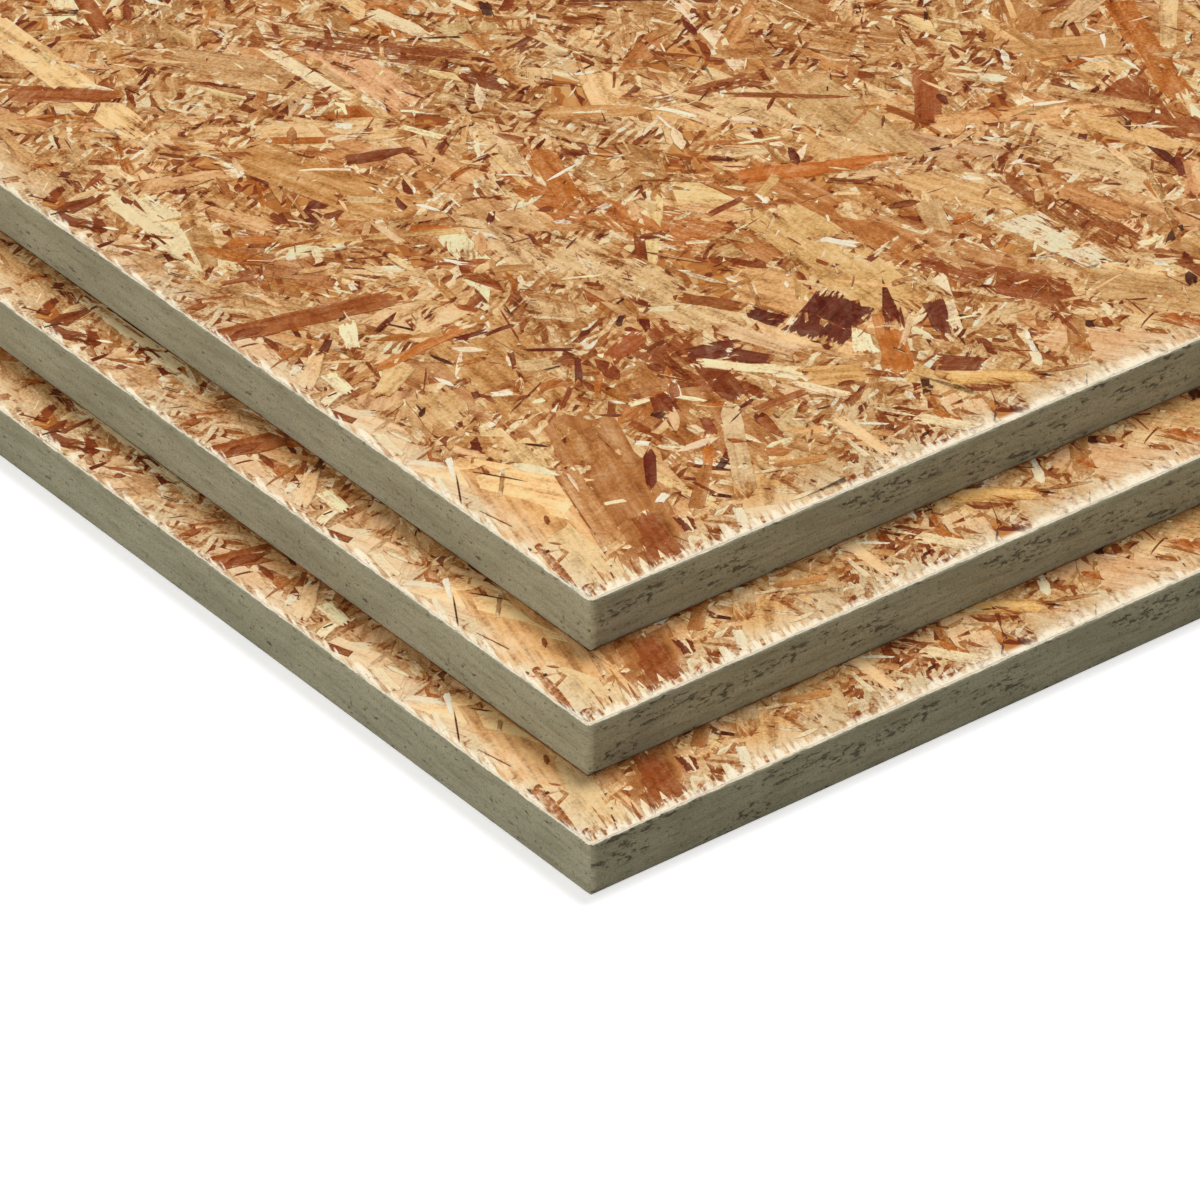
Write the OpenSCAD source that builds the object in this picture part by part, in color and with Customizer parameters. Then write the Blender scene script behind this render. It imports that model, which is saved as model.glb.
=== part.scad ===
// Stack of three oriented strand board panels, lying flat and fanned at one corner.
// Millimetres, +Z up. The origin lies on the floor, under the middle of the stack's outline.
// +Y runs along the panels' length and +X across their width.

/* [Panel] */
// Length of each panel
panel_length = 2440; // [1200:1:3660]
// Width of each panel
panel_width = 1220; // [400:1:1525]
// Thickness of each panel
panel_thickness = 18; // [6:0.5:40]
// Radius to which each of the four upright corners is blunted
corner_radius = 2.5; // [0.5:0.1:12]
// Radius to which the long edges round both faces are eased
arris_radius = 1.2; // [0.2:0.1:2.5]

/* [Fan at the front corner] */
// How far the middle panel sits back from the bottom panel, across the width
middle_setback_x = 21; // [0:0.5:150]
// How far the middle panel sits back from the bottom panel, along the length
middle_setback_y = 28; // [0:0.5:150]
// How far the top panel sits back from the middle panel, across the width
top_setback_x = 24.5; // [0:0.5:150]
// How far the top panel sits back from the middle panel, along the length
top_setback_y = 30.5; // [0:0.5:150]

/* [Hidden] */
$fn = 64;

// Plan position of each panel's front corner, measured from the bottom panel's
bottom_corner = [0, 0];
middle_corner = bottom_corner + [middle_setback_x, middle_setback_y];
top_corner = middle_corner + [top_setback_x, top_setback_y];

// Outline of the whole stack, whose middle is the origin
panel_size = [panel_width, panel_length];
stack_size = panel_size + top_corner;
stack_corner = -stack_size / 2;

// Height of each panel's underside, one panel on the next
bottom_z = 0;
middle_z = bottom_z + panel_thickness;
top_z = middle_z + panel_thickness;

osb_colour = [0.79, 0.60, 0.38];

// Rectangle from the origin to size, with its four corners rounded
module rounded_rectangle(size, radius) {
    translate([radius, 0])
        square([size.x - 2 * radius, size.y]);
    translate([0, radius])
        square([size.x, size.y - 2 * radius]);
    for (x = [radius, size.x - radius], y = [radius, size.y - radius])
        translate([x, y])
            circle(r = radius);
}

// One sheet, its front corner at the origin: the solid common to its plan, its end
// section and its side section, so that the corners and the arrises are both eased
module osb_sheet() {
    intersection() {
        linear_extrude(panel_thickness)
            rounded_rectangle(panel_size, corner_radius);
        translate([0, panel_length, 0])
            rotate([90, 0, 0])
                linear_extrude(panel_length)
                    rounded_rectangle([panel_width, panel_thickness], arris_radius);
        rotate([90, 0, 90])
            linear_extrude(panel_width)
                rounded_rectangle([panel_length, panel_thickness], arris_radius);
    }
}

// A sheet in its place in the stack
module placed_sheet(corner, z) {
    color(osb_colour)
        translate([stack_corner.x + corner.x, stack_corner.y + corner.y, z])
            osb_sheet();
}

module bottom_panel() {
    placed_sheet(bottom_corner, bottom_z);
}

module middle_panel() {
    placed_sheet(middle_corner, middle_z);
}

module top_panel() {
    placed_sheet(top_corner, top_z);
}

bottom_panel();
middle_panel();
top_panel();
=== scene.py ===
"""Stack of three oriented strand board panels, lying flat and fanned at one corner.

The panels come from model.glb and get their edge seal here. Pressed wood strands lie on every face
that shows, laid out in millimetres from a panel's front corner.
"""
import math

import bpy
import numpy as np
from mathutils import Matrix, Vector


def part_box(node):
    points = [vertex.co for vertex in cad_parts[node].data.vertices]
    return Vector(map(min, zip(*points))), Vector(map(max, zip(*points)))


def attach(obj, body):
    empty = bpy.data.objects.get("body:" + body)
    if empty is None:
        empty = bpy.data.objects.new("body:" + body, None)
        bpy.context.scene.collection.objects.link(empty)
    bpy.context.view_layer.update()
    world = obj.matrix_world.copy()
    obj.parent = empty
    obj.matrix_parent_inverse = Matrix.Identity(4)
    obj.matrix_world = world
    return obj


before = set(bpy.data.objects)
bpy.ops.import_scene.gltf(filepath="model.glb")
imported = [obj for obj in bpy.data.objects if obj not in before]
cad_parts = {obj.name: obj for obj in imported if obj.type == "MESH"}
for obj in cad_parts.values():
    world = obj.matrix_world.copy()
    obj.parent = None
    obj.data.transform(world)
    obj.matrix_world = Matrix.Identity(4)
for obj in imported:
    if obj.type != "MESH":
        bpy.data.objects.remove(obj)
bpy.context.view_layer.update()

MM = 0.001
PANELS = ("bottom_panel", "middle_panel", "top_panel")
PANEL_LO = {name: np.array(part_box(name)[0]) / MM for name in PANELS}
PANEL_HI = {name: np.array(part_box(name)[1]) / MM for name in PANELS}
PANEL_WIDTH, PANEL_LENGTH = (PANEL_HI["top_panel"] - PANEL_LO["top_panel"])[:2]

# Wood tones as they look in even light, sRGB from 0 to 255
TONES = {
    "white": (247, 231, 204),
    "cream": (243, 219, 181),
    "pale": (231, 196, 148),
    "tan": (217, 174, 122),
    "pink": (219, 174, 128),
    "yellow": (224, 184, 120),
    "honey": (203, 153, 99),
    "amber": (190, 134, 80),
    "orange": (193, 123, 60),
    "russet": (169, 103, 57),
    "rust": (150, 82, 45),
    "maroon": (128, 61, 39),
    "purple": (114, 52, 37),
    "dark": (96, 54, 38),
}
# The sawn border
BARE_WOOD_AND_HIGHLIGHT = (255, 244, 218)
EDGE_PALE = (251, 230, 190)
# The edge seal
SEAL = {
    "fresh": (177, 173, 146),
    "dull": (163, 159, 132),
    "layered": (133, 126, 101),
    "rubbed": (195, 185, 152),
    "gritty": (131, 122, 98),
    # Pits and flecks: the seal darkened as painted shade inside them
    "pit_painted_shade": (90, 85, 68),
    "fleck_painted_shade": (98, 90, 71),
}


def linear(tone):
    """sRGB from 0 to 255 as linear light."""
    c = np.asarray(tone, float) / 255
    return np.where(c <= 0.04045, c / 12.92, ((c + 0.055) / 1.055) ** 2.4)


# Strands read in the photo near the front corner, the lowest first: tone, middle, direction of the
# grain in degrees from +X, length, width and the shape of the ends
HEROES = (
    ("amber", 90, 72, 80, 90, 40, "loose"),
    ("pale", 128, 22, 60, 70, 34, "grit"),
    ("honey", 60, 120, 80, 70, 34, "loose"),
    ("pale", 50, 158, 10, 60, 26, "loose"),
    ("tan", 185, 22, 100, 70, 40, "grit"),
    ("russet", 104, 92, 85, 50, 22, "loose"),
    ("tan", 14, 32, 76, 84, 30, "torn"),
    ("pale", 22, 66, -60, 46, 24, "torn"),
    ("honey", 31, 40, 72, 54, 9, "torn"),
    ("amber", 45, 46, 68, 86, 25, "torn"),
    ("russet", 37, 16, 72, 26, 11, "torn"),
    ("amber", 53, 72, 66, 34, 13, "loose"),
    ("maroon", 59, 46, 53, 25, 4.8, "point"),
    ("pale", 88, 40, 57, 58, 7, "point"),
    ("orange", 72, 36, 46, 32, 4, "point"),
    ("amber", 64, 28, 44, 30, 5, "point"),
    ("dark", 67, 21, -55, 8, 2.4, "torn"),
    ("maroon", 47.5, 16, 76, 11, 3, "torn"),
    ("rust", 85, 73, 70, 11, 8, "torn"),
    ("dark", 80, 69, 20, 5, 4.4, "torn"),
    ("dark", 40, 78, -50, 9, 1.3, "point"),
    ("maroon", 69, 77, -38, 9, 2.4, "point"),
    ("white", 75, 82, -60, 6, 1.8, "point"),
    ("cream", 80, 78, -10, 8, 3, "torn"),
    ("white", 52, 31, 30, 6, 3.4, "torn"),
    ("cream", 72, 52, -40, 11, 2.6, "point"),
    ("white", 66, 59, -50, 5, 3, "torn"),
    ("cream", 39, 38, -20, 8, 2.4, "torn"),
    ("white", 64, 9, 60, 11, 4, "torn"),
    ("cream", 31, 68, -62, 18, 5, "point"),
    ("rust", 88, 54, 64, 12, 4.4, "torn"),
    ("orange", 95, 30, -40, 8, 5, "torn"),
    ("dark", 78, 35, 30, 6, 3.6, "torn"),
    ("cream", 36, 55, 72, 14, 2.2, "point"),
    ("dark", 6, 72, 58, 20, 0.7, "point"),
    ("dark", 20, 71, -56, 19, 1.0, "point"),
    ("russet", 28, 42, 72, 30, 0.8, "point"),
    ("russet", 17, 43, 62, 6, 2.0, "point"),
    ("rust", 1.4, 9, 92, 14, 1.2, "point"),
    ("russet", 5.5, 52, 100, 15, 0.8, "point"),
    ("cream", 18, 4, 72, 12, 2.4, "point"),
    ("russet", 21, 5, 70, 13, 0.9, "point"),
    ("cream", 24, 4, 70, 13, 2.6, "point"),
    ("rust", 27, 6, 68, 15, 1.0, "point"),
    ("cream", 31, 4, 70, 12, 2.2, "point"),
    ("russet", 35, 5, 72, 13, 1.6, "point"),
    ("cream", 42, 4, 68, 11, 2.0, "point"),
    ("cream", 47, 4, 70, 12, 2.4, "point"),
    ("russet", 50, 5, 66, 13, 1.0, "point"),
    ("cream", 55, 4, 66, 12, 3.0, "torn"),
    ("dark", 2.8, 33, 60, 2.2, 1.4, "point"),
    ("dark", 6.6, 29, 40, 1.8, 1.3, "point"),
    ("russet", 11, 31, -50, 4, 1.0, "point"),
    ("white", 7, 90, -50, 14, 4, "torn"),
    ("white", 12, 84, 62, 12, 2.6, "torn"),
    ("white", 4, 78, 70, 10, 2.6, "torn"),
    ("cream", 5, 106, 80, 14, 5, "torn"),
    ("white", 8, 158, 30, 6, 3, "torn"),
    ("cream", 7, 138, 20, 10, 4, "torn"),
    # right of the corner
    ("rust", 108, 72, 74, 26, 10, "torn"),
    ("maroon", 116, 87, -18, 18, 10, "torn"),
    ("maroon", 123, 78, -55, 15, 8, "torn"),
    ("pale", 132, 84, -70, 34, 8, "torn"),
    ("purple", 157, 80, 28, 30, 22, "torn"),
    ("purple", 142, 93, -66, 15, 8, "torn"),
    ("rust", 156, 78, -82, 13, 1.6, "point"),
    ("pale", 144, 76, -66, 38, 11, "torn"),
    ("dark", 145, 72, -56, 4.6, 1.1, "point"),
    ("yellow", 138, 54, -30, 22, 13, "torn"),
    ("rust", 137, 47.5, -10, 7, 3, "point"),
    ("cream", 157, 63, 55, 14, 8, "torn"),
    ("orange", 167, 63, 58, 48, 11, "torn"),
    ("maroon", 175, 66, 57, 16, 1.4, "point"),
    ("russet", 115, 52, -3, 21, 4, "torn"),
    ("russet", 103, 42, 82, 13, 4.5, "torn"),
    ("cream", 121, 72, -47, 38, 6.6, "torn"),
    ("cream", 126.5, 60, -62, 12, 5, "torn"),
    ("cream", 129, 49, -64, 20, 4.6, "torn"),
    ("cream", 138, 26, -60, 17, 2.6, "point"),
    ("cream", 146, 12, -55, 19, 6, "torn"),
    ("pale", 122, 20, 88, 27, 5, "torn"),
    ("cream", 116, 17, 84, 13, 2.4, "torn"),
    ("dark", 155, 31, 55, 11, 3.2, "torn"),
    ("russet", 134, 17.5, 14, 9, 2, "point"),
    ("dark", 137.5, 10, 12, 4.4, 1.8, "point"),
    ("maroon", 185, 61, 62, 20, 7, "torn"),
    ("rust", 172, 35, -42, 16, 10, "torn"),
    ("yellow", 174, 23, -36, 30, 8, "torn"),
    ("rust", 214, 34, 78, 24, 2.4, "point"),
    ("russet", 219, 42, 70, 26, 3, "point"),
    ("dark", 219, 28, 50, 5, 3, "torn"),
    ("dark", 160, 4, 46, 14, 0.8, "point"),
    ("dark", 196, 3, 48, 9, 0.8, "point"),
    # left of the corner
    ("russet", 28, 181, -14, 74, 10, "torn"),
    ("rust", 10, 185, -10, 16, 6, "point"),
    ("rust", 11, 175, 84, 11, 2.4, "point"),
    ("dark", 38, 174, 26, 6, 1.8, "point"),
    ("tan", 30, 111, 82, 30, 18, "loose"),
    ("dark", 24, 114, 36, 7.5, 2.6, "point"),
    ("dark", 24.5, 116, 76, 8, 1.0, "point"),
    ("cream", 33, 163, 62, 17, 6, "torn"),
    ("cream", 40, 158, -34, 11, 2.2, "point"),
    ("maroon", 24, 164, 36, 8, 3, "torn"),
    ("pale", 12, 155, 42, 20, 5.5, "torn"),
    ("cream", 13.5, 144, 84, 15, 6, "torn"),
    ("pale", 28, 136, 32, 22, 9, "torn"),
    ("dark", 28, 133, -30, 2.4, 1.6, "torn"),
    ("rust", 3.5, 127, -70, 8, 3.6, "torn"),
    ("orange", 47, 144, 5, 42, 5, "point"),
    ("orange", 44, 154, -25, 14, 4, "point"),
    ("maroon", 63, 141, -6, 15, 3.6, "torn"),
    ("maroon", 71, 138, -4, 13, 2.4, "torn"),
    ("cream", 57, 135, -44, 12, 3.6, "point"),
    ("honey", 87, 128, 66, 46, 24, "grit"),
    ("rust", 76, 138, 70, 24, 0.9, "point"),
    ("maroon", 77, 119, -37, 18, 2.0, "torn"),
    ("rust", 64, 121, 62, 12, 2.2, "torn"),
    ("maroon", 76.5, 104, 53, 18, 2.6, "torn"),
    ("pale", 68, 115, -20, 13, 8, "torn"),
    ("dark", 71.5, 110, -12, 7, 1.2, "point"),
    ("maroon", 43, 112, 70, 5, 2.6, "torn"),
    ("white", 50, 108, -30, 8, 4, "torn"),
    ("amber", 51, 104, 30, 7, 4, "torn"),
    ("russet", 97, 106, 16, 22, 8, "torn"),
    ("rust", 104, 101, 2, 11, 3, "torn"),
    ("rust", 84, 99, 82, 17, 6, "point"),
    ("maroon", 55, 102, 24, 23, 0.9, "point"),
    ("white", 40, 124, -78, 9, 2.6, "point"),
    ("rust", 36, 129, 50, 16, 0.8, "point"),
    ("dark", 104.5, 119, 40, 8, 2.6, "torn"),
    ("dark", 112, 128.5, 16, 5, 1.6, "torn"),
    ("russet", 134, 111, -56, 22, 7, "torn"),
)


# Points along a strand's sides and teeth on its ends: millimetres apart, fewest and most
SIDE_PITCH = 5
SIDE_POINTS = (3, 16)
TOOTH_PITCH = 2.2
TEETH = (1, 9)
# Shares of a strand's length or width
TAPER = 0.16
BOW = 0.025
SPLIT = 0.16
WAVER = 0.02
THINNEST = 0.04
TIP = 0.08
# Most that a side wavers, in millimetres, and how fast a pointed end widens
WAVER_MOST = 0.12
TIP_PACE = (3, 14)
# Most slant of a torn end and most length of a tooth: shares of the width and of the length, and
# millimetres
SLANT = (0.45, 0.2, 10)
TOOTH = (0.2, 0.07, 2.6)
SQUARE_SLANT = 0.3
# Chance in each strand: lightness, hue, darkness of the rim, partly painted shade of the crevice
# round the strand and partly dark resin and dirt in the gap, and grit
LIGHTNESS_SPREAD = 0.10
HUE_SPREAD = 0.04
RIM_SHADE = (0.15, 1.0)
GRIT = (0.2, 0.95)
# Least width that a strand's sag is spread over
SAG_WIDTH = 4


def least(limits, width, length):
    """The least of a share of the width, a share of the length and a size in millimetres."""
    of_width, of_length, most = limits
    return min(of_width * width, of_length * length, most)


class Layout:
    """Strands on one face of a panel: outline, grain, level and tone of each."""

    def __init__(self, seed):
        self.rng = np.random.default_rng(seed)
        self.strands = []

    def side(self, length, width, ends, taper, n):
        """Places along one side and half widths there: straight, with small splits along the grain."""
        rng = self.rng
        u = np.linspace(-0.5, 0.5, n + 1)
        half = 0.5 * width * (1 + 2 * taper * u)
        split = rng.uniform(-0.5, 0.5)
        half -= np.where(u * rng.choice((-1, 1)) > split, rng.uniform(0, SPLIT) * width, 0)
        half += rng.normal(0, min(WAVER * width, WAVER_MOST), n + 1)
        if ends == "point":
            start, stop = rng.uniform(*TIP_PACE, 2)
            half *= np.clip(np.minimum((u + 0.5) * start, (0.5 - u) * stop) + TIP, 0, 1)
        return u * length, np.maximum(half, THINNEST * width)

    def outline(self, length, width, ends, fine):
        """Outline round the origin with its grain along the first axis."""
        rng = self.rng
        n = int(np.clip(length / SIDE_PITCH, *SIDE_POINTS)) if fine else 2
        teeth = int(np.clip(width / TOOTH_PITCH, *TEETH)) if fine else 1
        taper = rng.uniform(-TAPER, TAPER)
        bow = rng.uniform(-BOW, BOW) * length
        u, low = self.side(length, width, ends, taper, n)
        _, high = self.side(length, width, ends, taper, n)
        middle = bow * (1 - 4 * (u / length) ** 2)
        low = np.stack([u, middle - low], 1)
        high = np.stack([u, middle + high], 1)[::-1]
        caps = []
        for end, a, b in ((1, low[-1], high[0]), (-1, high[-1], low[0])):
            t = np.linspace(0, 1, teeth + 2)
            reach = least(SLANT, width, length) if ends == "torn" else SQUARE_SLANT
            slant = rng.uniform(-1, 1) * reach * (t - 0.5) * 2
            tooth = rng.uniform(-1, 1, teeth + 2) * least(TOOTH, width, length)
            cap = a + t[:, None] * (b - a)
            cap[:, 0] += end * (slant + tooth)
            caps.append(cap)
        return np.concatenate([low[1:-1], caps[0], high[1:-1], caps[1]])

    def add(self, tone, x, y, angle, length, width, ends, level, fine, rim, sag=0.05, grit=None):
        """Lay one strand; a rim of 0 leaves it without a sloping edge."""
        rng = self.rng
        uv = self.outline(length, width, ends, fine)
        a = math.radians(angle)
        turn = np.array([[math.cos(a), math.sin(a)], [-math.sin(a), math.cos(a)]])
        slope = rng.uniform(-1, 1, 2) * sag / np.array([0.5 * length, 0.5 * max(width, SAG_WIDTH)])
        colour = linear(tone) * (1 + rng.uniform(-LIGHTNESS_SPREAD, LIGHTNESS_SPREAD))
        colour = colour * (1 + rng.uniform(-HUE_SPREAD, HUE_SPREAD, 3))
        xy = uv @ turn + (x, y)
        self.strands.append({
            "uv": uv, "xy": xy, "level": level, "slope": slope, "rim": rim, "colour": colour,
            "seed": rng.uniform(), "middle": (x, y), "turn": turn, "shade": rng.uniform(*RIM_SHADE),
            "grit": rng.uniform(*GRIT) if grit is None else grit,
            "half": (0.5 * length, 0.5 * width),
            "box": (*xy.min(0).tolist(), *xy.max(0).tolist()),
        })


def clip(uv, xy, axis, limit, sign):
    """The part of an outline on one side of a straight cut, with both of its coordinates."""
    inside = sign * (xy[:, axis] - limit) >= 0
    if inside.all():
        return uv, xy
    out_uv, out_xy = [], []
    n = len(xy)
    for i in range(n):
        j = (i + 1) % n
        if inside[i]:
            out_uv.append(uv[i])
            out_xy.append(xy[i])
        if inside[i] != inside[j]:
            t = (limit - xy[i, axis]) / (xy[j, axis] - xy[i, axis])
            out_uv.append(uv[i] + t * (uv[j] - uv[i]))
            out_xy.append(xy[i] + t * (xy[j] - xy[i]))
    return np.array(out_uv), np.array(out_xy)


# Kinds of loose strand: length, width, share of the face each kind would cover, spread of the
# grain about the panel's length in degrees, levels in millimetres, and the odds of each tone
KINDS = {
    "broad": dict(length=(60, 115), width=(13, 30), cover=2.5, spread=32, level=(0.03, 0.30),
                  odds=dict(pale=20, tan=30, honey=24, amber=12, orange=6, pink=4, russet=4, cream=4,
                            maroon=1)),
    "mid": dict(length=(22, 56), width=(4, 12), cover=0.8, spread=50, level=(0.08, 0.32),
                odds=dict(cream=10, pale=18, tan=24, yellow=3, honey=18, amber=12, orange=7,
                          russet=8, rust=5, maroon=4, purple=1)),
    "small": dict(length=(5, 20), width=(1.6, 4.6), cover=0.26, spread=75, level=(0.20, 0.36),
                  odds=dict(white=6, cream=15, pale=14, tan=12, honey=12, amber=9, orange=9, russet=10,
                            rust=9, maroon=5, dark=2)),
    "bits": dict(length=(4, 17), width=(1.6, 5.2), cover=0.75, spread=70, level=(0.20, 0.33),
                 odds=dict(cream=9, pale=8, honey=10, amber=14, orange=15, russet=17, rust=13, maroon=7)),
    "sliver": dict(length=(3, 11), width=(0.5, 1.5), cover=0.035, spread=80, level=(0.28, 0.40),
                   odds=dict(white=14, cream=20, pale=8, amber=8, russet=14, rust=14, maroon=14, dark=10)),
}
SMALL_KINDS = ("small", "bits", "sliver")
# How far a loose strand strays from its own square of the face
JITTER = (-0.1, 1.1)
# Share of pointed strands, and widths of the sloping rim, for large kinds and small ones
POINTED = (0.2, 0.6)
FINE_RIM = (0.38, 0.16)
PLAIN_RIM = (0.4, 0)
# Reach of the finely cut strands from the front corner
NEAR = 360.0
# The corner that the photo shows: its reach, the share of loose strands kept there, and the most
# that large ones lie above the panel
HERO_REACH = (232.0, 205.0)
HERO_DIAGONAL = 1.04
HERO_SHARE = {"broad": 1, "mid": 0.6, "small": 0.45, "bits": 1, "sliver": 0.4}
HERO_BED = 0.13
# Patches of broken strands in that corner
BUSY = ((56, 80, 112, 122), (70, 42, 112, 84))
LIGHT_BUSY = ((98, 12, 210, 50), (60, 24, 100, 50), (8, 96, 56, 172))
LIGHT_BUSY_SHARE = 1.4
# Broad strands in that corner with next to nothing on them
CALM = ((-5, -5, 34, 62), (24, 4, 58, 80), (74, 112, 102, 146))


def hero_zone(x, y):
    """Whether a point lies in the corner that the photo shows."""
    across, along = x / HERO_REACH[0], y / HERO_REACH[1]
    return across < 1 and along < 1 and across + along < HERO_DIAGONAL


def scatter(layout, kind, region, share=1.0, fine=False):
    """Strew one kind of strand evenly over a region (x0, y0, x1, y1)."""
    rng = layout.rng
    k = KINDS[kind]
    x0, y0, x1, y1 = region
    area = np.mean(k["length"]) * np.mean(k["width"])
    pitch = math.sqrt(area / (k["cover"] * share))
    nx, ny = max(1, round((x1 - x0) / pitch)), max(1, round((y1 - y0) / pitch))
    names = list(k["odds"])
    odds = np.array(list(k["odds"].values()), float)
    odds /= odds.sum()
    small = kind in SMALL_KINDS
    for i in rng.permutation(nx * ny):
        x = x0 + (i % nx + rng.uniform(*JITTER)) * (x1 - x0) / nx
        y = y0 + (i // nx + rng.uniform(*JITTER)) * (y1 - y0) / ny
        length, width = rng.uniform(*k["length"]), rng.uniform(*k["width"])
        angle = 90 + rng.normal(0, k["spread"])
        tone = TONES[names[rng.choice(len(names), p=odds)]]
        level = rng.uniform(*k["level"])
        ends = "point" if rng.uniform() < POINTED[small] else "torn"
        if fine and small and any(a < x < c and b < y < d for a, b, c, d in CALM):
            continue
        if fine and hero_zone(x, y):
            if rng.uniform() > HERO_SHARE[kind]:
                continue
            level = level if small else min(level, HERO_BED)
            tone = tone if small or tone[1] > TONES["russet"][1] else TONES["honey"]
        rim = (FINE_RIM if fine else PLAIN_RIM)[small]
        layout.add(tone, x, y, angle, length, width, ends, level, fine, rim)


# Heights above the panel in millimetres: least and most of a strand's top, drop to the foot of its
# rim, and most of that foot; a cut strand is pressed down to a share of its level
LEAST_RISE = 0.03
MOST_RISE = 0.5
RIM_DROP = 0.2
MOST_FOOT = 0.3
CUT_RISE = 0.1
# Most of the way to a strand's middle that its rim takes up
RIM_SHARE = 0.35
# Distances and areas that count as none
NO_LENGTH = 1e-6
NO_AREA = 1e-5


def cut_outline(s, rect):
    """A strand's outline inside a rectangle in both of its coordinates, or None."""
    x0, y0, x1, y1 = rect
    uv, xy = s["uv"], s["xy"]
    left, front, right, back = s["box"]
    if right <= x0 or left >= x1 or back <= y0 or front >= y1:
        return None
    if left < x0 or right > x1 or front < y0 or back > y1:
        for axis, limit, sign in ((0, x0, 1), (0, x1, -1), (1, y0, 1), (1, y1, -1)):
            uv, xy = clip(uv, xy, axis, limit, sign)
            if len(xy) < 3:
                return None
    return uv, xy


def strand_rings(s, uv, xy, rect):
    """Rings round a strand, its top and the foot of its rim: plan, grain, height and the rim's painted shade.
    """
    n = len(xy)
    top = s["level"] + uv @ s["slope"]
    if not s["rim"]:
        return [(xy, uv, np.clip(top, LEAST_RISE, MOST_RISE), np.zeros(n))]
    x0, y0, x1, y1 = rect
    inner = uv - np.sign(uv) * np.minimum(s["rim"], RIM_SHARE * np.abs(uv))
    inner_xy = inner @ s["turn"] + s["middle"]
    shade = np.full(n, s["shade"])
    for axis, limit in ((0, x0), (0, x1), (1, y0), (1, y1)):
        cut = np.abs(xy[:, axis] - limit) < NO_LENGTH
        inner_xy[cut, axis] = limit
        shade[cut] = 0
    inner_xy = np.clip(inner_xy, (x0, y0), (x1, y1))
    most = np.where(shade == 0, LEAST_RISE + CUT_RISE * s["level"], MOST_RISE)
    foot = np.clip(top - RIM_DROP, 0.0, np.minimum(most, MOST_FOOT))
    return [(inner_xy, inner, np.clip(top, LEAST_RISE, most), np.zeros(n)), (xy, uv, foot, shade)]


def strand_faces(rings, start, up):
    """A strand's top and the walls of its rim, apart from walls that a cut leaves without area."""
    n = len(rings[0])
    faces = [list(range(start, start + n))]
    if len(rings) == 2:
        high, low = rings
        span = np.cross(np.roll(low, -1, 0) - high, np.roll(high, -1, 0) - low)
        for i in np.flatnonzero(np.abs(span).max(1) > NO_AREA).tolist():
            j = (i + 1) % n
            faces.append([start + n + i, start + n + j, start + j, start + i])
    return faces if up > 0 else [face[::-1] for face in faces]


def build_mesh(name, strands, lo, z, up, keep):
    """One mesh of strands on a panel's face, cut to the rectangles in keep."""
    points, faces, cells, near = [], [], [], []
    values = {key: [] for key in ("grain", "plan", "tone", "half", "rim", "seed", "grit")}
    count = 0
    for s in strands:
        for rect in keep:
            cut = cut_outline(s, rect)
            if cut is None:
                continue
            rings = strand_rings(s, *cut, rect)
            corners = [np.column_stack([xy + lo[:2], z + up * rise]) for xy, _, rise, _ in rings]
            points += corners
            faces += strand_faces(corners, count, up)
            # The rim's darkness goes to the attribute rim: painted crevice shade, with dark resin and dirt in
            # the gap
            for xy, uv, _, shade in rings:
                values["plan"].append(xy)
                values["grain"].append(uv)
                values["rim"].append(shade)
            m = sum(len(ring) for ring in corners)
            values["tone"].append(np.tile((*s["colour"], 1.0), (m, 1)))
            values["half"].append(np.tile((*s["half"], 0.0), (m, 1)))
            values["seed"].append(np.full(m, s["seed"]))
            values["grit"].append(np.full(m, s["grit"]))
            cells.append((count, m))
            near.append(s["middle"][0] < NEAR and s["middle"][1] < NEAR)
            count += m
    values = {key: np.concatenate(parts) for key, parts in values.items()}
    mesh = bpy.data.meshes.new(name)
    mesh.from_pydata((np.concatenate(points) * MM).tolist(), [], faces)
    bake = bake_cells(values["grain"], cells, np.array(near))
    loops = np.empty(len(mesh.loops), np.int32)
    mesh.loops.foreach_get("vertex_index", loops)
    for key, uv in (("grain", values["grain"]), ("plan", values["plan"]), ("OFBake", bake)):
        layer = mesh.uv_layers.new(name=key)
        layer.data.foreach_set("uv", uv[loops].astype(np.float32).ravel())
    for key, kind, field in (("tone", "FLOAT_COLOR", "color"), ("half", "FLOAT_VECTOR", "vector"),
                             ("rim", "FLOAT", "value"), ("seed", "FLOAT", "value"),
                             ("grit", "FLOAT", "value")):
        layer = mesh.attributes.new(key, kind, "POINT")
        layer.data.foreach_set(field, values[key].astype(np.float32).ravel())
    mesh.update()
    obj = bpy.data.objects.new(name, mesh)
    bpy.context.scene.collection.objects.link(obj)
    return obj


# How much of its cell a strand fills, and the gap before it
CELL_FILL = 0.76
CELL_GAP = 0.12


def bake_cells(grain, cells, near):
    """A cell of its own for each strand, larger for strands near the front corner."""
    out = np.zeros_like(grain)
    n_near, n_far = int(near.sum()), int((~near).sum())
    split = 0.5 if n_near and n_far else (1.0 if n_near else 0.0)
    grids = {}
    for flag, total, low, high in ((True, n_near, 0.0, split), (False, n_far, split, 1.0)):
        if total:
            cols = math.ceil(math.sqrt(total / (high - low)))
            rows = math.ceil(total / cols)
            grids[flag] = (cols, rows, low, high)
    index = {True: 0, False: 0}
    for (start, m), flag in zip(cells, near):
        flag = bool(flag)
        cols, rows, low, high = grids[flag]
        i = index[flag]
        index[flag] += 1
        part = grain[start:start + m]
        lo, span = part.min(0), np.maximum(np.ptp(part, axis=0), NO_LENGTH)
        cell = (part - lo) / span * CELL_FILL + CELL_GAP
        out[start:start + m, 0] = (i % cols + cell[:, 0]) / cols
        out[start:start + m, 1] = low + (i // cols + cell[:, 1]) / rows * (high - low)
    return out


# Outputs of an attribute in a material
COLOUR = 0
VECTOR = 1
FACTOR = 2


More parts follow.
